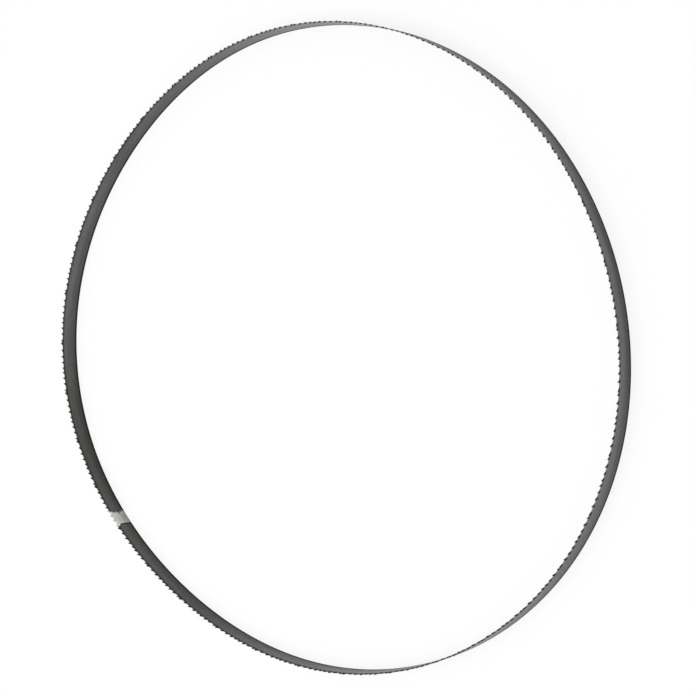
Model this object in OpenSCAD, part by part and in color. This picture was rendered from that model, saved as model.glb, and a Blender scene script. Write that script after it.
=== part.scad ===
// Narrow band saw blade: a thin steel band welded end to end into a springy loop.
// It lies on its back edge with the teeth up. X runs along the loop's long axis, and
// Z = 0 is the plane of the back edge. Lengths are in millimetres, angles in degrees.

/* [Loop] */
// Length of the band, once round the loop
blade_length = 1140; // [800:10:1400]
// How far the resting oval's long axis reaches past the mean circle
oval_reach = 7.55; // [0:0.05:20]
// How far a three-cornered wave reaches past the mean circle
three_reach = 1.75; // [0:0.05:4]
// Direction of one of its corners
three_turn = -39.9; // [-60:0.1:60]
// How far a four-cornered wave reaches past the mean circle
four_reach = 0.8; // [0:0.05:3]
// Direction of one of its corners
four_turn = 12.7; // [-45:0.1:45]
// How far a five-cornered wave reaches past the mean circle
five_reach = 0.4; // [0:0.05:2]
// Direction of one of its corners
five_turn = -20.2; // [-36:0.1:36]

/* [Band] */
// Width of the band, from the back edge to the tooth tips
band_width = 12.7; // [8:0.1:20]
// Thickness of the band
band_thick = 0.64; // [0.4:0.01:1]

/* [Teeth] */
// Gaps from tip to tip in one repeat of the variable pitch
tip_gaps = [4.2, 3.85, 3.65, 3.45, 2.85, 3.3, 3.5, 4, 2]; // [2:0.05:5]
// Place of the first tip, along the band from the long axis
first_tip = 12.2; // [0:0.1:30]
// Depth of a full gullet below the tips
gullet_depth = 1.6; // [0.6:0.05:2]
// Deepest a gullet may be, as a share of its own gap
gullet_share = 0.5; // [0.3:0.05:0.6]
// Rake of the cutting face, with the tip ahead of the gullet
rake = 4; // [0:1:10]
// Sideways set of a tip from the middle of the band
tooth_set = 0.17; // [0:0.01:0.3]

/* [Hidden] */

// How the teeth lean in turn: out of the loop, into it, and straight as a raker.
set_order = [1, -1, 0];

// One tooth's outline, as shares of its gap and of its gullet's depth: the back falls
// from the tip to its foot and the flat gullet floor, which curves up into the next face.
back_foot = [0.33, 0.86];
floor_start = [0.46, 1];
floor_end = [0.84, 1];
face_foot_depth = 0.7;
curve_turns = [35, 65];
outline_points = 7;
tip = 0;
foot = 1;
floor_a = 2;
floor_b = 3;
curve_a = 4;
curve_b = 5;
face = 6;
back_edge = 7;

// The loop is measured in one-degree steps, so that a length along it gives a direction.
// Its slope is taken over half a degree each way.
step = 1;
slope_step = 0.5;
pulls = 4;

function total(list, n) = n == 0 ? 0 : list[n - 1] + total(list, n - 1);

// The loop's middle line: a circle with a few waves round it.
function wave(turn) =
    oval_reach * cos(2 * turn)
    + three_reach * cos(3 * (turn - three_turn))
    + four_reach * cos(4 * (turn - four_turn))
    + five_reach * cos(5 * (turn - five_turn));
function loop_point(turn, mean_r) = (mean_r + wave(turn)) * [cos(turn), sin(turn)];
function chord(turn, mean_r) = norm(loop_point(turn + step, mean_r) - loop_point(turn, mean_r));
function way_round(mean_r) = [
    for (turn = 0, length = 0;
         turn <= 360;
         length = length + chord(turn, mean_r), turn = turn + step)
    [length, turn]
];
function full_length(mean_r) = let (stops = way_round(mean_r)) stops[len(stops) - 1][0];

// The mean radius at which the loop comes to the length of the band.
function pulled_radius(mean_r, times) =
    times < 1 ? mean_r : pulled_radius(mean_r * blade_length / full_length(mean_r), times - 1);
mean_radius = pulled_radius(blade_length / (2 * PI), pulls);
way = way_round(mean_radius);
edge_points = [for (stop = way) loop_point(stop[1], mean_radius)];
xs = [for (p = edge_points) p.x];
ys = [for (p = edge_points) p.y];
middle = [max(xs) + min(xs), max(ys) + min(ys)] / 2;

// A point at a length along the band, out from its middle line, at a height.
function on_band(length, out, height) =
    let (
        turn = lookup((length + blade_length) % blade_length, way),
        ahead = loop_point(turn + slope_step, mean_radius) - loop_point(turn - slope_step, mean_radius),
        outward = [ahead.y, -ahead.x] / norm(ahead),
        place = loop_point(turn, mean_radius) - middle + out * outward
    )
    [place.x, place.y, height];

// The pitch repeats a whole number of times, stretched a little so that it closes.
teeth_per_repeat = len(tip_gaps);
repeat_length = total(tip_gaps, teeth_per_repeat);
repeats = round(blade_length / repeat_length);
stretch = blade_length / (repeats * repeat_length);
teeth = repeats * teeth_per_repeat;
function gap(i) = stretch * tip_gaps[i % teeth_per_repeat];
function tip_place(i) =
    let (
        whole = floor(i / teeth_per_repeat) * repeat_length,
        rest = total(tip_gaps, i % teeth_per_repeat)
    )
    first_tip + stretch * (whole + rest);
function depth(i) = min(gullet_depth, gullet_share * gap(i));

// Length along the band and depth below the tips of each outline point of tooth i.
function outline(i) =
    let (
        g = gap(i),
        d = depth(i),
        floor_x = floor_end.x * g,
        face_d = face_foot_depth * d,
        face_x = g + face_d * tan(rake)
    )
    [
        [0, 0],
        [back_foot.x * g, back_foot.y * d],
        [floor_start.x * g, floor_start.y * d],
        [floor_x, d],
        for (a = curve_turns)
            [floor_x + (face_x - floor_x) * sin(a), d - (d - face_d) * (1 - cos(a))],
        [face_x, face_d],
    ];

// Sideways lean of an outline point: the tooth bends from the gullet floor up.
function lean(i, fall, d) = tooth_set * set_order[i % len(set_order)] * (1 - fall / d);

// The points of tooth i, each on the inside and then on the outside of the band.
function tooth_points(i) =
    let (
        s = tip_place(i),
        d = depth(i),
        next = (i + 1) % teeth,
        shape = outline(i)
    )
    [
        for (k = [0 : outline_points - 1])
            let (bend = lean(k > floor_b ? next : i, shape[k].y, d))
            for (side = [-1, 1])
                on_band(s + shape[k].x, side * band_thick / 2 + bend, band_width - shape[k].y),
        for (side = [-1, 1])
            on_band(s, side * band_thick / 2, 0),
    ];

// Number of a point in the whole list, and two triangles across four points.
function at(i, k, side) = ((i % teeth) * (outline_points + 1) + k) * 2 + side;
function across(a, b, c, d) = [[a, b, c], [a, c, d]];

// A strip that joins the inside to the outside, from one outline point to the next.
function edge_strip(i, k, j, m) = across(at(i, k, 0), at(j, m, 0), at(j, m, 1), at(i, k, 1));

// One wall of a pitch: the band up to its gullet and to the foot line of the tooth after
// it, which runs from the gullet's curve to the next gullet's floor, and then the tooth.
function wall(i, side) =
    let (
        foot_line = [
            for (k = [floor_b : curve_b]) at(i, k, side),
            at(i + 1, foot, side),
            at(i + 1, floor_a, side),
        ]
    )
    [
        [at(i, back_edge, side), at(i, floor_b, side), at(i, floor_a, side)],
        [at(i, back_edge, side), at(i + 1, back_edge, side), at(i, floor_b, side)],
        for (k = [1 : len(foot_line) - 1])
            [at(i + 1, back_edge, side), foot_line[k], foot_line[k - 1]],
        [at(i, face, side), at(i, curve_b, side), at(i + 1, foot, side)],
        [at(i + 1, tip, side), at(i, face, side), at(i + 1, foot, side)],
    ];
function turned(faces) = [for (f = faces) [f[2], f[1], f[0]]];
function pitch_faces(i) = concat(
    [for (k = [tip : face - 1]) each edge_strip(i, k, i, k + 1)],
    edge_strip(i, face, i + 1, tip),
    edge_strip(i + 1, back_edge, i, back_edge),
    wall(i, 0),
    turned(wall(i, 1))
);

module blade() {
    color("dimgray")
    polyhedron(
        points = [for (i = [0 : teeth - 1]) each tooth_points(i)],
        faces = [for (i = [0 : teeth - 1]) each pitch_faces(i)]
    );
}

blade();
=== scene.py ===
"""The finished look of an endless band saw blade that lies on its back edge with its teeth up."""

import math

import bmesh
import bpy
from mathutils import Matrix, Vector


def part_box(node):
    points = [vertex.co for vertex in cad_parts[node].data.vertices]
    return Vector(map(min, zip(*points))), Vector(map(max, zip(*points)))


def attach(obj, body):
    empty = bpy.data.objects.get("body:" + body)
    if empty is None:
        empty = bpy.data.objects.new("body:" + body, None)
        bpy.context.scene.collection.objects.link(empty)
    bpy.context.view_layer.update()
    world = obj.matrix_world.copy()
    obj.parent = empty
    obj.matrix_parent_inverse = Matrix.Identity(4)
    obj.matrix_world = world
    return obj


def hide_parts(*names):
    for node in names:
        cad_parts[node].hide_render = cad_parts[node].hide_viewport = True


bl_info = {
    "name": "Band saw blade",
    "version": (1, 0, 0),
    "blender": (4, 5, 0),
    "location": "View3D > Sidebar > Saw blade",
    "description": "Makes an endless toothed steel band with its finish, and a plain stage for it",
    "category": "Object",
}

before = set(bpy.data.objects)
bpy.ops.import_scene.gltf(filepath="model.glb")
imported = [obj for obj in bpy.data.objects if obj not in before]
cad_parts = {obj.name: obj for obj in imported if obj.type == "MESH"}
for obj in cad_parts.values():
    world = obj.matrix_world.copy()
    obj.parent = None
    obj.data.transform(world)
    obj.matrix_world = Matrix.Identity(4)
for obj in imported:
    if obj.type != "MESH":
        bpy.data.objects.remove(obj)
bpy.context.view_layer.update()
BAND_LOW, BAND_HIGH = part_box("blade")

MM = 0.001

# The variable pitch: gaps from tip to tip in one repeat, and the side that each tooth leans to.
TIP_GAPS = [gap * MM for gap in (4.2, 3.85, 3.65, 3.45, 2.85, 3.3, 3.5, 4, 2)]
SET_ORDER = (1, -1, 0)

# A tooth's back meets the gullet floor at this share of the gap. A repeat is cut through a floor.
BACK_SHARE = 0.384
CUT_SHARE = 0.65

# The loop is measured in one-degree steps, and its slope is taken over half a degree each way.
STEPS = 360
SLOPE_STEP = math.radians(0.5)
PULLS = 4

# Points closer than this are one point.
SAME_POINT = 2e-6

# A row of points runs under the gullets, at this share of their depth. Under a tip, a point of
# the row is moved along the band, so that the face below the tooth keeps its shape.
ROW_SHARE = 1.25
ROW_SHIFT = 0.2 * MM

# How squarely a face points sideways where it is a broad side, and up where it is a gullet floor.
SIDE_FACING = 0.9
FLOOR_FACING = 0.85

# The band's materials, in their order on its mesh.
INSIDE, OUTSIDE, CUT_EDGE, GULLET_FLOOR = range(4)

# The patch over the weld: half its length, and how much longer each half is beside the teeth.
PATCH_HALF = 4.1 * MM
PATCH_FLARE = 1.7 * MM

# Some stretches of the band are painted darker and a little browner, as painted shade: their
# middles, and how strong each one is.
PAINTED_SHADE_STRETCHES = (
    (Vector((148, -105, 6)) * MM, 1.0),
    (Vector((-20, -172, 6)) * MM, 1.0),
    (Vector((-125, 123, 6)) * MM, 0.5),
)

# The camera stands where it gives the same view of the loop as the photograph.
CAMERA_PLACE = Vector((512.023, 106.421, 671.890)) * MM
CAMERA_FORWARD = Vector((-0.585936, -0.123904, -0.800829))
CAMERA_UP = Vector((-0.170796, 0.984925, -0.027423))
CAMERA_NEAR = 10 * MM

LAMP_PLACE = Vector((-0.1, -0.35, 1.2))
LAMP_WIDTH = 1.0
FLOOR_REACH = 20.0


class BladeSizes(bpy.types.PropertyGroup):
    """Sizes of the band, its loop and its teeth."""

    blade_length: bpy.props.FloatProperty(
        name="Length", description="Length of the band, once round the loop",
        default=1140 * MM, unit="LENGTH", subtype="DISTANCE")
    oval_reach: bpy.props.FloatProperty(
        name="Oval reach", description="How far the long axis reaches past the mean circle",
        default=7.55 * MM, unit="LENGTH", subtype="DISTANCE")
    three_reach: bpy.props.FloatProperty(
        name="Three-cornered reach", description="How far a three-cornered wave reaches",
        default=1.75 * MM, unit="LENGTH", subtype="DISTANCE")
    three_turn: bpy.props.FloatProperty(
        name="Three-cornered turn", description="Direction of one of its corners",
        default=math.radians(-39.9), subtype="ANGLE")
    four_reach: bpy.props.FloatProperty(
        name="Four-cornered reach", description="How far a four-cornered wave reaches",
        default=0.8 * MM, unit="LENGTH", subtype="DISTANCE")
    four_turn: bpy.props.FloatProperty(
        name="Four-cornered turn", description="Direction of one of its corners",
        default=math.radians(12.7), subtype="ANGLE")
    five_reach: bpy.props.FloatProperty(
        name="Five-cornered reach", description="How far a five-cornered wave reaches",
        default=0.4 * MM, unit="LENGTH", subtype="DISTANCE")
    five_turn: bpy.props.FloatProperty(
        name="Five-cornered turn", description="Direction of one of its corners",
        default=math.radians(-20.2), subtype="ANGLE")
    band_width: bpy.props.FloatProperty(
        name="Width", description="From the back edge to the tooth tips",
        default=BAND_HIGH.z - BAND_LOW.z, unit="LENGTH", subtype="DISTANCE")
    band_thick: bpy.props.FloatProperty(
        name="Thickness", description="Thickness of the band",
        default=0.64 * MM, unit="LENGTH", subtype="DISTANCE")
    first_tip: bpy.props.FloatProperty(
        name="First tip", description="Place of the first tip, along the band from the long axis",
        default=12.2 * MM, unit="LENGTH", subtype="DISTANCE")
    gullet_depth: bpy.props.FloatProperty(
        name="Gullet depth", description="Depth of a full gullet below the tips",
        default=1.6 * MM, unit="LENGTH", subtype="DISTANCE")
    gullet_share: bpy.props.FloatProperty(
        name="Gullet share", description="Deepest a gullet may be, as a share of its own gap",
        default=0.5, subtype="FACTOR")
    rake: bpy.props.FloatProperty(
        name="Rake", description="Rake of the cutting face, with the tip ahead of the gullet",
        default=math.radians(4), subtype="ANGLE")
    tooth_set: bpy.props.FloatProperty(
        name="Set", description="Sideways set of a tip from the middle of the band",
        default=0.17 * MM, unit="LENGTH", subtype="DISTANCE")
    gullet_round: bpy.props.FloatProperty(
        name="Gullet rounding", description="Rounding where a gullet floor turns up into a face",
        default=0.5 * MM, unit="LENGTH", subtype="DISTANCE")
    foot_round: bpy.props.FloatProperty(
        name="Foot rounding", description="Rounding where a tooth's back meets the gullet floor",
        default=0.3 * MM, unit="LENGTH", subtype="DISTANCE")
    burr_round: bpy.props.FloatProperty(
        name="Tooth edge rounding", description="Rounding of the toothed edge's corners",
        default=0.04 * MM, unit="LENGTH", subtype="DISTANCE")
    back_round: bpy.props.FloatProperty(
        name="Back edge rounding", description="Rounding of the back edge's corners",
        default=0.1 * MM, unit="LENGTH", subtype="DISTANCE")
    weld_place: bpy.props.FloatProperty(
        name="Weld place", description="Middle of the weld, along the band from the long axis",
        default=714 * MM, unit="LENGTH", subtype="DISTANCE")


class BladeFinish(bpy.types.PropertyGroup):
    """Colours and roughness of the blade's steel."""

    rolled_colour: bpy.props.FloatVectorProperty(
        name="Rolled steel", description="Colour of the band's dark rolled faces",
        default=(0.118, 0.119, 0.118), subtype="COLOR", min=0, max=1)
    cool_tint: bpy.props.FloatVectorProperty(
        name="Cool patches", description="Colour of the patches that tend to green and blue",
        default=(0.109, 0.120, 0.118), subtype="COLOR", min=0, max=1)
    warm_tint: bpy.props.FloatVectorProperty(
        name="Warm patches", description="Colour of the patches that tend to olive",
        default=(0.121, 0.119, 0.108), subtype="COLOR", min=0, max=1)
    # The teeth and the thin dark lines along both edges are painted shade.
    edge_shade_colour: bpy.props.FloatVectorProperty(
        name="Edges", description="Colour of the teeth and of the thin dark lines along both edges",
        default=(0.014, 0.014, 0.014), subtype="COLOR", min=0, max=1)
    # The gullet floors are painted bright far along +Y, as a painted reflection, and dark
    # elsewhere.
    gullet_with_reflection: bpy.props.FloatVectorProperty(
        name="Gullet floors", description="Colour of the milled gullet floors with a painted reflection",
        default=(0.42, 0.42, 0.41), subtype="COLOR", min=0, max=1)
    gullet_beyond_reflection: bpy.props.FloatVectorProperty(
        name="Gullet floors beyond the reflection", description="Colour of the gullet floors beyond the painted reflection",
        default=(0.09, 0.09, 0.09), subtype="COLOR", min=0, max=1)
    weld_colour: bpy.props.FloatVectorProperty(
        name="Ground weld", description="Colour of the bright patch ground over the weld",
        default=(0.56, 0.57, 0.53), subtype="COLOR", min=0, max=1)
    weld_rim: bpy.props.FloatVectorProperty(
        name="Weld rim", description="Colour of the patch's lighter rim",
        default=(0.72, 0.72, 0.69), subtype="COLOR", min=0, max=1)
    roughness: bpy.props.FloatProperty(
        name="Roughness", description="Roughness of the rolled faces",
        default=0.38, subtype="FACTOR", min=0, max=1)
    oil_film: bpy.props.FloatProperty(
        name="Oil film", description="Weight of the thin film of oil over the steel",
        default=0.3, subtype="FACTOR", min=0, max=1)


class StageLook(bpy.types.PropertyGroup):
    """The floor, the light and the camera's lens."""

    floor_colour: bpy.props.FloatVectorProperty(
        name="Floor", description="Colour of the floor",
        default=(0.95, 0.95, 0.95), subtype="COLOR", min=0, max=1)
    shadow_share: bpy.props.FloatProperty(
        name="Shadow", description="How much of the blade's shadow the camera sees on the floor",
        default=0.15, subtype="FACTOR", min=0, max=1)
    sky_strength: bpy.props.FloatProperty(
        name="Sky strength", description="Strength of the even light from all round",
        default=0.7, min=0)
    key_strength: bpy.props.FloatProperty(
        name="Key light", description="Strength of the large soft lamp",
        default=8.0, unit="POWER")
    lens: bpy.props.FloatProperty(
        name="Lens", description="Focal length of the camera",
        default=80.385, unit="CAMERA")


class Loop:
    """The band's middle line: a circle with a few waves round it, measured along its length."""

    def __init__(self, sizes):
        self.waves = [
            (2, sizes.oval_reach, 0),
            (3, sizes.three_reach, sizes.three_turn),
            (4, sizes.four_reach, sizes.four_turn),
            (5, sizes.five_reach, sizes.five_turn),
        ]
        self.length = sizes.blade_length
        self.turns = [math.tau * n / STEPS for n in range(STEPS + 1)]
        self.mean_radius = self.length / math.tau
        for _ in range(PULLS):
            self.measure()
            self.mean_radius *= self.length / self.stops[-1]
        self.measure()
        points = [self.point(turn) for turn in self.turns]
        self.middle = Vector((
            (max(p.x for p in points) + min(p.x for p in points)) / 2,
            (max(p.y for p in points) + min(p.y for p in points)) / 2,
            0,
        ))

    def point(self, turn):
        """Where the middle line is in a direction, from the centre of its circle."""
        waves = sum(reach * math.cos(n * (turn - start)) for n, reach, start in self.waves)
        return (self.mean_radius + waves) * Vector((math.cos(turn), math.sin(turn), 0))

    def measure(self):
        """Works out the length along the loop at each step of turn."""
        self.stops = [0]
        for turn, following in zip(self.turns, self.turns[1:]):
            chord = (self.point(following) - self.point(turn)).length
            self.stops.append(self.stops[-1] + chord)

    def turn_at(self, along):
        """The direction at a length along the loop."""
        along %= self.length
        low, high = 0, STEPS
        while high - low > 1:
            half = (low + high) // 2
            if self.stops[half] <= along:
                low = half
            else:
                high = half
        share = (along - self.stops[low]) / (self.stops[high] - self.stops[low])
        return self.turns[low] + share * (self.turns[high] - self.turns[low])

    def place(self, along, outward=0, height=0):
        """A point at a length along the band, out from its middle line, at a height."""
        turn = self.turn_at(along)
        ahead = (self.point(turn + SLOPE_STEP) - self.point(turn - SLOPE_STEP)).normalized()
        sideways = Vector((ahead.y, -ahead.x, 0))
        return self.point(turn) - self.middle + outward * sideways + Vector((0, 0, height))

    def direction(self, along):
        """The band's direction at a length along it, as an angle from +X."""
        ahead = self.place(along + MM) - self.place(along - MM)
        return math.atan2(ahead.y, ahead.x)


class Toothing:
    """Where the teeth of one repeat stand, along a straight band from its first tip."""

    def __init__(self, sizes):
        self.repeats = round(sizes.blade_length / sum(TIP_GAPS))
        self.length = sizes.blade_length / self.repeats
        stretch = self.length / sum(TIP_GAPS)
        self.gaps = [stretch * gap for gap in TIP_GAPS]
        self.tips = [sum(self.gaps[:n]) for n in range(len(self.gaps))]
        self.depths = [min(sizes.gullet_depth, sizes.gullet_share * gap) for gap in self.gaps]
        self.start = -(1 - CUT_SHARE) * self.gaps[-1]
        self.top = sizes.band_width
        self.rake = sizes.rake

    def corners(self):
        """Corners of the toothed edge as (kind, length, height), from one cut to the next."""
        floor = self.top - self.depths[-1]
        found = [("cut", self.start, floor)]
        for n, tip in enumerate(self.tips):
            reach = (self.top - floor) * math.tan(self.rake)
            found.append(("gullet", tip + reach, floor))
            found.append(("tip", tip, self.top))
            floor = self.top - self.depths[n]
            found.append(("foot", tip + BACK_SHARE * self.gaps[n], floor))
        found.append(("cut", self.start + self.length, floor))
        return found

    def lean(self, along, height):
        """Sideways lean of a point, from -1 to 1: a tooth bends from its gullet floors up."""
        for n, tip in enumerate(self.tips):
            before = self.gaps[n - 1] * (1 - CUT_SHARE)
            after = self.gaps[n] * CUT_SHARE
            if tip - before <= along < tip + after:
                depth = self.depths[n - 1] if along < tip else self.depths[n]
                fall = (self.top - height) / depth
                return SET_ORDER[n % len(SET_ORDER)] * max(0, 1 - fall)
        return 0


def edges_where(bm, test):
    """The edges between two faces whose faces and corners pass a test."""
    return [e for e in bm.edges if len(e.link_faces) == 2 and test(e)]


def is_wall(face):
    """Whether a face of the straight band is part of one of its two broad sides."""
    return abs(face.normal.y) > SIDE_FACING


def is_corner(edge):
    """Whether an edge lies between a broad side and a narrow one."""
    return is_wall(edge.link_faces[0]) != is_wall(edge.link_faces[1])


def straight_repeat(sizes, teeth):
    """One repeat of the teeth on a straight band: X along it, Y through it and Z up."""
    bm = bmesh.new()
    line = [(kind, bm.verts.new((along, 0, height))) for kind, along, height in teeth.corners()]
    for (_, here), (_, following) in zip(line, line[1:]):
        bm.edges.new((here, following))
    for kind, rounding in (("gullet", sizes.gullet_round), ("foot", sizes.foot_round)):
        bmesh.ops.bevel(
            bm, geom=[vert for name, vert in line if name == kind], offset=rounding,
            offset_type="OFFSET", segments=3, profile=0.5, affect="VERTICES", material=-1)

    # The toothed line is drawn down to a row under the gullets, and then to the back edge.
    under_gullets = sizes.band_width - ROW_SHARE * sizes.gullet_depth
    row = bm.edges[:]
    for height in (under_gullets, 0):
        made = bmesh.ops.extrude_edge_only(bm, edges=row)["geom"]
        row = [item for item in made if isinstance(item, bmesh.types.BMEdge)]
        for vert in (item for item in made if isinstance(item, bmesh.types.BMVert)):
            if vert.co.z > sizes.band_width - SAME_POINT:
                vert.co.x += ROW_SHIFT
            vert.co.z = height

    bmesh.ops.recalc_face_normals(bm, faces=bm.faces)
    bmesh.ops.solidify(bm, geom=bm.faces[:], thickness=sizes.band_thick)
    middle = (max(v.co.y for v in bm.verts) + min(v.co.y for v in bm.verts)) / 2
    bmesh.ops.translate(bm, verts=bm.verts, vec=(0, -middle, 0))

    # The repeat stays open at both ends, where the next one joins it.
    bm.normal_update()
    ends = [
        face for face in bm.faces
        if abs(face.normal.x) > SIDE_FACING
        and min(v.co.z for v in face.verts) < under_gullets + SAME_POINT
    ]
    bmesh.ops.delete(bm, geom=ends, context="FACES_ONLY")
    loose = [e for e in bm.edges if not e.link_faces]
    bmesh.ops.delete(bm, geom=loose, context="EDGES")
    bmesh.ops.recalc_face_normals(bm, faces=bm.faces)
    bm.normal_update()

    for is_back, rounding, segments in ((False, sizes.burr_round, 2), (True, sizes.back_round, 3)):
        corners = edges_where(bm, lambda e: is_corner(e) and (
            max(v.co.z for v in e.verts) < MM) == is_back)
        bmesh.ops.bevel(
            bm, geom=corners, offset=rounding, offset_type="OFFSET", segments=segments,
            profile=0.5, affect="EDGES", material=-1, clamp_overlap=True)
        bm.normal_update()

    for face in bm.faces:
        face.smooth = True
        if is_wall(face):
            face.material_index = INSIDE if face.normal.y > 0 else OUTSIDE
        else:
            face.material_index = GULLET_FLOOR if face.normal.z > FLOOR_FACING else CUT_EDGE
    for edge in edges_where(bm, lambda e: is_corner(e) or e.calc_face_angle(0) > math.radians(35)):
        edge.smooth = False
    for vert in bm.verts:
        vert.co.y -= sizes.tooth_set * teeth.lean(vert.co.x, vert.co.z)
    return bm


def make_band(sizes, loop):
    """The whole toothed band, bent round the loop, with its ends welded."""
    teeth = Toothing(sizes)
    bm = straight_repeat(sizes, teeth)
    repeat = bm.verts[:] + bm.edges[:] + bm.faces[:]
    for n in range(1, teeth.repeats):
        copied = bmesh.ops.duplicate(bm, geom=repeat)["geom"]
        verts = [item for item in copied if isinstance(item, bmesh.types.BMVert)]
        bmesh.ops.translate(bm, verts=verts, vec=(n * teeth.length, 0, 0))
    for vert in bm.verts:
        vert.co = loop.place(sizes.first_tip + vert.co.x, -vert.co.y, vert.co.z)
    bmesh.ops.remove_doubles(bm, verts=bm.verts, dist=SAME_POINT)
    bmesh.ops.recalc_face_normals(bm, faces=bm.faces)
    open_edges = [e for e in bm.edges if len(e.link_faces) != 2]
    if open_edges:
        raise RuntimeError(f"the band has {len(open_edges)} edges that aren't closed")
    return bm


class NodeBuilder:
    """Adds nodes to a material or a group, with their settings, values and links in one call."""

    def __init__(self, tree):
        self.tree = tree

    def add(self, kind, inputs=None, **settings):
        node = self.tree.nodes.new(kind)
        for name, value in settings.items():
            setattr(node, name, value)
        for socket, value in (inputs or {}).items():
            if isinstance(value, bpy.types.NodeSocket):
                self.tree.links.new(value, node.inputs[socket])
            else:
                node.inputs[socket].default_value = value
        return node

    def math(self, operation, *values, clamp=False):
        inputs = dict(enumerate(values))
        node = self.add("ShaderNodeMath", inputs, operation=operation, use_clamp=clamp)
        return node.outputs[0]

    def step(self, value, low, high):
        """0 below low and 1 above high, with a smooth rise; falls where low is above high."""
        flip = low > high
        inputs = {"Value": value, "From Min": min(low, high), "From Max": max(low, high),
                  "To Min": 1.0 if flip else 0.0, "To Max": 0.0 if flip else 1.0}
        node = self.add("ShaderNodeMapRange", inputs, interpolation_type="SMOOTHSTEP")
        return node.outputs["Result"]

    def near(self, vector, middle, far, close):
        """1 within a distance of a place, close, and 0 past a greater one, far."""
        inputs = {0: vector, 1: middle}
        node = self.add("ShaderNodeVectorMath", inputs, operation="DISTANCE")
        return self.step(node.outputs["Value"], far, close)

    def noise(self, vector, detail=2.0, rough=0.5):
        inputs = {"Vector": vector, "Scale": 1.0, "Detail": detail, "Roughness": rough}
        return self.add("ShaderNodeTexNoise", inputs).outputs["Fac"]

    def scaled(self, vector, along, up):
        """A vector for patterns of one length along the band and another up it."""
        inputs = {"Vector": vector, "Scale": (1 / along, 1 / along, 1 / up)}
        return self.add("ShaderNodeMapping", inputs).outputs["Vector"]

    def blend(self, share, low, high):
        node = self.add("ShaderNodeMix", data_type="RGBA")
        for index, value in ((0, share), (6, low), (7, high)):
            if isinstance(value, bpy.types.NodeSocket):
                self.tree.links.new(value, node.inputs[index])
            elif index == 0:
                node.inputs[index].default_value = value
            else:
                node.inputs[index].default_value = (*value, 1)
        return node.outputs[2]

    def toned(self, colour, value):
        """A colour made lighter or darker by a value."""
        inputs = {0: colour, "Scale": value}
        return self.add("ShaderNodeVectorMath", inputs, operation="SCALE").outputs["Vector"]


def rolled_grain_group():
    """Streaks left by rolling: a broad, a middle and a fine grain that all run along the band."""
    group = bpy.data.node_groups.new("rolled_grain", "ShaderNodeTree")
    group.interface.new_socket("Place", in_out="INPUT", socket_type="NodeSocketVector")
    for name in ("Broad", "Middle", "Fine", "Flecks"):
        group.interface.new_socket(name, in_out="OUTPUT", socket_type="NodeSocketFloat")
    build = NodeBuilder(group)
    place = build.add("NodeGroupInput").outputs["Place"]
    grains = {
        "Broad": build.noise(build.scaled(place, 28 * MM, 3.2 * MM), 2.0),
        "Middle": build.noise(build.scaled(place, 9 * MM, 0.7 * MM), 2.0),
        "Fine": build.noise(build.scaled(place, 2.4 * MM, 0.07 * MM), 1.0),
        "Flecks": build.step(build.noise(build.scaled(place, 3.5 * MM, 0.5 * MM), 1.0), 0.6, 0.75),
    }
    build.add("NodeGroupOutput", grains)
    return group


def ground_weld_group(sizes, loop):
    """Masks for the patch ground over the weld, its rim, a dark border beside it, and painted shade
    round it.
    """
    group = bpy.data.node_groups.new("ground_weld", "ShaderNodeTree")
    group.interface.new_socket("Place", in_out="INPUT", socket_type="NodeSocketVector")
    for name in ("Patch", "Rim", "DarkBorder", "WeldShade"):
        group.interface.new_socket(name, in_out="OUTPUT", socket_type="NodeSocketFloat")
    build = NodeBuilder(group)
    place = build.add("NodeGroupInput").outputs["Place"]
    centre = loop.place(sizes.weld_place)
    inputs = {"Vector": place, "Location": centre,
              "Rotation": (0, 0, loop.direction(sizes.weld_place))}
    local = build.add("ShaderNodeMapping", inputs, vector_type="TEXTURE").outputs["Vector"]
    parts = build.add("ShaderNodeSeparateXYZ", {"Vector": local}).outputs
    near = build.near(place, centre, 60 * MM, 50 * MM)

    # The patch flares beside the teeth. One end is ragged and the other is clean.
    flare = build.step(parts["Z"], 8.6 * MM, 10.8 * MM)
    half = build.math("MULTIPLY_ADD", flare, PATCH_FLARE, PATCH_HALF)
    rag = build.noise(build.scaled(local, 40 * MM, 1.3 * MM), 2.0, 0.6)
    rag = build.math("SUBTRACT", rag, 0.5)
    ragged = build.math("MULTIPLY_ADD", rag, 11 * MM, build.math("MULTIPLY", parts["X"], -1.0))
    clean = build.math("MULTIPLY_ADD", rag, 1.2 * MM, parts["X"])
    past = build.math("SUBTRACT", build.math("MAXIMUM", ragged, clean), half)
    patch = build.math("MULTIPLY", build.step(past, 0.12 * MM, -0.12 * MM), near)
    rim = build.math("MULTIPLY", build.step(past, -1.1 * MM, -0.3 * MM), patch)
    # A dark border runs just past the patch's edge.
    dark_border = build.math("MULTIPLY", build.step(past, 1.3 * MM, 0.5 * MM), near)
    # Painted shade over the band round the weld.
    weld_shade = build.near(place, centre, 135 * MM, 65 * MM)
    build.add("NodeGroupOutput", {"Patch": patch, "Rim": rim, "DarkBorder": dark_border, "WeldShade": weld_shade})
    return group


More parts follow.
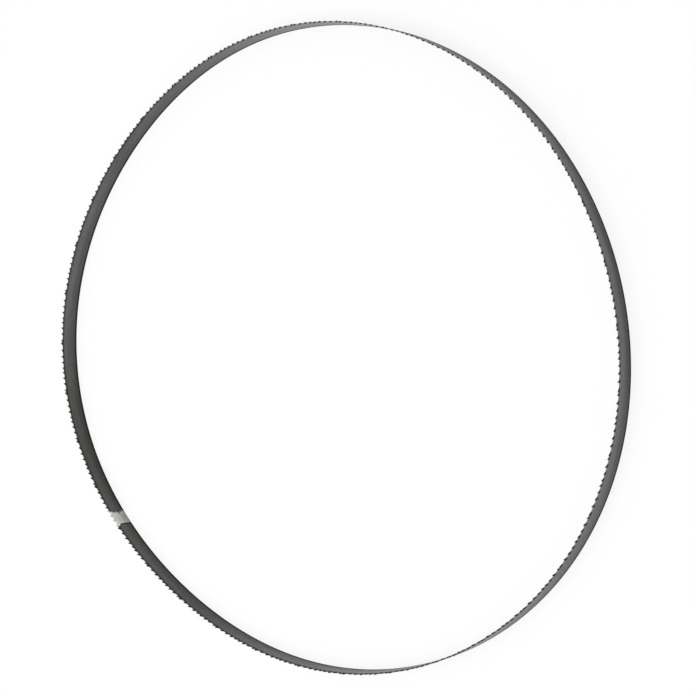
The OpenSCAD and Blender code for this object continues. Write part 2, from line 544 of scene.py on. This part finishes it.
def rolled_colour(build, finish, place, height, grains, masks, shade):
    """Colour of the dark rolled steel: long patches of tint, streaks along the band, and painted
    shade round the weld, on some stretches and on the low half.
    """
    tint = build.noise(build.scaled(place, 55 * MM, 16 * MM), 1.5)
    colour = build.blend(build.step(tint, 0.50, 0.62), finish.rolled_colour, finish.cool_tint)
    colour = build.blend(build.step(tint, 0.46, 0.36), colour, finish.warm_tint)
    # Round the weld the steel is painted darker and warmer, as painted shade.
    colour = build.blend(masks["WeldShade"], colour, finish.warm_tint)
    # Some stretches are painted darker and a little warmer, as painted shade.
    stretch_shade = 0.0
    for middle, strength in PAINTED_SHADE_STRETCHES:
        stretch = build.near(place, middle, 95 * MM, 35 * MM)
        stretch_shade = build.math("MULTIPLY_ADD", stretch, strength, stretch_shade)
    colour = build.blend(build.math("MULTIPLY", stretch_shade, 0.8), colour, finish.warm_tint)

    # The half next to the back edge is painted darker, up to a wandering line: painted shade.
    wander = build.math("MULTIPLY_ADD", grains["Broad"], 2.4 * MM, -1.2 * MM)
    painted_low_shade = build.step(build.math("ADD", height, wander), 7.2 * MM, 3.6 * MM)

    # Each pattern scales the colour by its strength times the pattern, on top of a base.
    value = 1.0
    for pattern, strength, base in (
        (grains["Broad"], 0.7, 0.65),
        (grains["Middle"], 0.5, 0.75),
        (grains["Fine"], 0.2, 0.9),
        (grains["Flecks"], 0.25, 1.0),
        (masks["WeldShade"], -0.45, 1.0),
        (stretch_shade, -0.4, 1.0),
        (painted_low_shade, -shade, 1.0),
    ):
        value = build.math("MULTIPLY", build.math("MULTIPLY_ADD", pattern, strength, base), value)
    return build.toned(colour, value)


def edge_shade_and_weld_border(build, sizes, height, masks, tooth_line):
    """How black a broad side is: painted shade in a line along both edges and over the teeth, and a
    dark border beside the weld.
    """
    gullets = sizes.band_width - sizes.gullet_depth
    near_back = build.step(height, 1.9 * MM, 1.2 * MM)
    near_teeth = build.step(height, gullets - tooth_line, gullets - 0.4 * tooth_line)
    lines = build.math("MAXIMUM", build.math("MULTIPLY", near_back, 0.85),
                       build.math("MULTIPLY", near_teeth, 0.75))
    lines = build.math("MAXIMUM", lines, masks["DarkBorder"])
    return build.math("MULTIPLY", lines, 0.9)


def ground_colour(build, finish, height, grains, masks):
    """Colour of the ground weld, streaked along the band, with painted shade towards the back edge.
    """
    bright = build.blend(masks["Rim"], finish.weld_colour, finish.weld_rim)
    streak = build.math("MULTIPLY_ADD", grains["Middle"], 0.9, 0.45)
    # Painted shade: the patch is darker towards the back edge.
    patch_low_shade = build.math("MULTIPLY_ADD", build.step(height, 8.5 * MM, 3.5 * MM), -0.25, 1.0)
    return build.toned(bright, build.math("MULTIPLY", streak, patch_low_shade))


def steel_material(name, finish, sizes, grain, weld, cut=None, shade=0.0, tooth_line=0.0):
    """The steel of a broad side, or of a cut edge that is named by its place, tooth or gullet.

    The half of a broad side next to the back edge is darker than the rest by a share, shade:
    painted shade.
    A black line of painted shade, of a width, tooth_line, runs under its gullets.
    """
    material = bpy.data.materials.new(name)
    material.use_nodes = True
    tree = material.node_tree
    tree.nodes.clear()
    build = NodeBuilder(tree)
    place = build.add("ShaderNodeTexCoord").outputs["Object"]
    parts = build.add("ShaderNodeSeparateXYZ", {"Vector": place}).outputs
    height = parts["Z"]
    grains = build.add("ShaderNodeGroup", {"Place": place}, node_tree=grain).outputs
    masks = build.add("ShaderNodeGroup", {"Place": place}, node_tree=weld).outputs

    colour = rolled_colour(build, finish, place, height, grains, masks, shade)
    if cut == "gullet":
        # Far along +Y the gullet floors are painted bright, a painted reflection; elsewhere they
        # are dark.
        beyond_reflection = build.step(parts["Y"], 126 * MM, 108 * MM)
        floor = build.blend(beyond_reflection, finish.gullet_with_reflection, finish.gullet_beyond_reflection)
        colour = build.blend(0.9, colour, floor)
        metal, film = 1.0, finish.oil_film
    else:
        # The cut faces are painted near-black, and the broad sides get black lines, as painted
        # shade along the edges.
        black = 0.85 if cut == "tooth" else edge_shade_and_weld_border(build, sizes, height, masks, tooth_line)
        colour = build.blend(black, colour, finish.edge_shade_colour)
        metal = build.math("MAXIMUM", build.math("SUBTRACT", 1.0, black), masks["Patch"])
        film = build.math("MULTIPLY", metal, finish.oil_film)
    ground = ground_colour(build, finish, height, grains, masks)
    colour = build.blend(masks["Patch"], colour, ground)

    roughness = build.math("MULTIPLY_ADD", grains["Middle"], 0.2, finish.roughness - 0.1)
    relief = build.math("ADD", grains["Fine"], build.math("MULTIPLY", grains["Middle"], 0.5))
    bump = build.add("ShaderNodeBump", {"Height": relief, "Strength": 0.25, "Distance": 0.02 * MM})
    shader = build.add("ShaderNodeBsdfPrincipled", {
        "Base Color": colour, "Metallic": metal, "Roughness": roughness,
        "Specular IOR Level": 0.0, "Coat Weight": film, "Coat Roughness": 0.25,
        "Normal": bump.outputs["Normal"]})
    build.add("ShaderNodeOutputMaterial", {"Surface": shader.outputs["BSDF"]})
    return material


def floor_material(look):
    """Pale matt floor. The camera sees it nearly white, with a share of the blade's soft shadow."""
    material = bpy.data.materials.new("pale_floor")
    material.use_nodes = True
    tree = material.node_tree
    tree.nodes.clear()
    build = NodeBuilder(tree)
    matt = build.add("ShaderNodeBsdfDiffuse", {"Color": (*look.floor_colour, 1)})
    white = build.add("ShaderNodeEmission", {"Color": (1, 1, 1, 1), "Strength": 1.0})
    rays = build.add("ShaderNodeLightPath").outputs
    seen = build.math("MULTIPLY", rays["Is Camera Ray"], 1 - look.shadow_share)
    mixed = build.add("ShaderNodeMixShader", {0: seen, 1: matt.outputs[0], 2: white.outputs[0]})
    build.add("ShaderNodeOutputMaterial", {"Surface": mixed.outputs[0]})
    return material


def finished_object(name, bm, materials):
    """A linked object at the origin that holds a finished mesh."""
    mesh = bpy.data.meshes.new(name)
    bm.to_mesh(mesh)
    bm.free()
    for material in materials:
        mesh.materials.append(material)
    made = bpy.data.objects.new(name, mesh)
    bpy.context.scene.collection.objects.link(made)
    return made


class SAWBLADE_OT_band(bpy.types.Operator):
    """Make the toothed steel band and weld it into its loop"""

    bl_idname = "saw_blade.band"
    bl_label = "Toothed band"

    def execute(self, context):
        sizes = context.scene.blade_sizes
        finish = context.scene.blade_finish
        loop = Loop(sizes)
        steel = (finish, sizes, rolled_grain_group(), ground_weld_group(sizes, loop))
        materials = [
            # The inside and the outside differ in how much painted shade their lower half gets, and
            # in the width of the painted black line under the gullets.
            steel_material("rolled_steel_inside", *steel, shade=0.22, tooth_line=1.0 * MM),
            steel_material("rolled_steel_outside", *steel, shade=0.42, tooth_line=0.2 * MM),
            steel_material("cut_edge_steel", *steel, cut="tooth"),
            steel_material("gullet_floor_steel", *steel, cut="gullet"),
        ]
        band = finished_object("toothed_band", make_band(sizes, loop), materials)
        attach(band, "root")
        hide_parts("blade")
        return {"FINISHED"}


class SAWBLADE_OT_stage(bpy.types.Operator):
    """Make the pale floor, the soft light and the camera"""

    bl_idname = "saw_blade.stage"
    bl_label = "Stage"

    def execute(self, context):
        look = context.scene.blade_stage
        self.make_floor(look)
        self.make_light(context.scene, look)
        self.make_camera(context.scene, look)
        context.scene.view_settings.view_transform = "Standard"
        return {"FINISHED"}

    def make_floor(self, look):
        bm = bmesh.new()
        bmesh.ops.create_grid(bm, x_segments=1, y_segments=1, size=FLOOR_REACH)
        finished_object("floor", bm, [floor_material(look)])

    def make_light(self, scene, look):
        scene.world = bpy.data.worlds.new("even_sky")
        scene.world.use_nodes = True
        tree = scene.world.node_tree
        tree.nodes.clear()
        build = NodeBuilder(tree)
        rays = build.add("ShaderNodeLightPath").outputs
        strength = build.math("MAXIMUM", rays["Is Camera Ray"], look.sky_strength)
        sky = build.add("ShaderNodeBackground", {"Color": (1, 1, 1, 1), "Strength": strength})
        build.add("ShaderNodeOutputWorld", {"Surface": sky.outputs[0]})

        lamp = bpy.data.lights.new("key_light", "AREA")
        lamp.shape = "DISK"
        lamp.size = LAMP_WIDTH
        lamp.energy = look.key_strength
        holder = bpy.data.objects.new("key_light", lamp)
        holder.location = LAMP_PLACE
        holder.rotation_euler = (-LAMP_PLACE).to_track_quat("-Z", "Y").to_euler()
        scene.collection.objects.link(holder)

    def make_camera(self, scene, look):
        forward = CAMERA_FORWARD.normalized()
        right = forward.cross(CAMERA_UP).normalized()
        up = right.cross(forward)
        camera = bpy.data.cameras.new("camera")
        camera.lens = look.lens
        camera.clip_start = CAMERA_NEAR
        holder = bpy.data.objects.new("camera", camera)
        turn = Matrix((right, up, -forward)).transposed().to_4x4()
        holder.matrix_world = Matrix.Translation(CAMERA_PLACE) @ turn
        scene.collection.objects.link(holder)
        scene.camera = holder


class SAWBLADE_PT_sidebar(bpy.types.Panel):
    """The blade's sizes, finish and stage, with the buttons that make them"""

    bl_idname = "SAWBLADE_PT_sidebar"
    bl_label = "Band saw blade"
    bl_space_type = "VIEW_3D"
    bl_region_type = "UI"
    bl_category = "Saw blade"

    def draw(self, context):
        for settings, operator in (
            (context.scene.blade_sizes, None),
            (context.scene.blade_finish, SAWBLADE_OT_band),
            (context.scene.blade_stage, SAWBLADE_OT_stage),
        ):
            column = self.layout.column()
            for name in settings.__annotations__:
                column.prop(settings, name)
            if operator:
                column.operator(operator.bl_idname)


CLASSES = (
    BladeSizes,
    BladeFinish,
    StageLook,
    SAWBLADE_OT_band,
    SAWBLADE_OT_stage,
    SAWBLADE_PT_sidebar,
)


def register():
    for cls in CLASSES:
        bpy.utils.register_class(cls)
    bpy.types.Scene.blade_sizes = bpy.props.PointerProperty(type=BladeSizes)
    bpy.types.Scene.blade_finish = bpy.props.PointerProperty(type=BladeFinish)
    bpy.types.Scene.blade_stage = bpy.props.PointerProperty(type=StageLook)


def unregister():
    del bpy.types.Scene.blade_stage
    del bpy.types.Scene.blade_finish
    del bpy.types.Scene.blade_sizes
    for cls in reversed(CLASSES):
        bpy.utils.unregister_class(cls)


def main():
    register()
    bpy.ops.saw_blade.band()
    bpy.ops.saw_blade.stage()


if __name__ == "__main__":
    main()
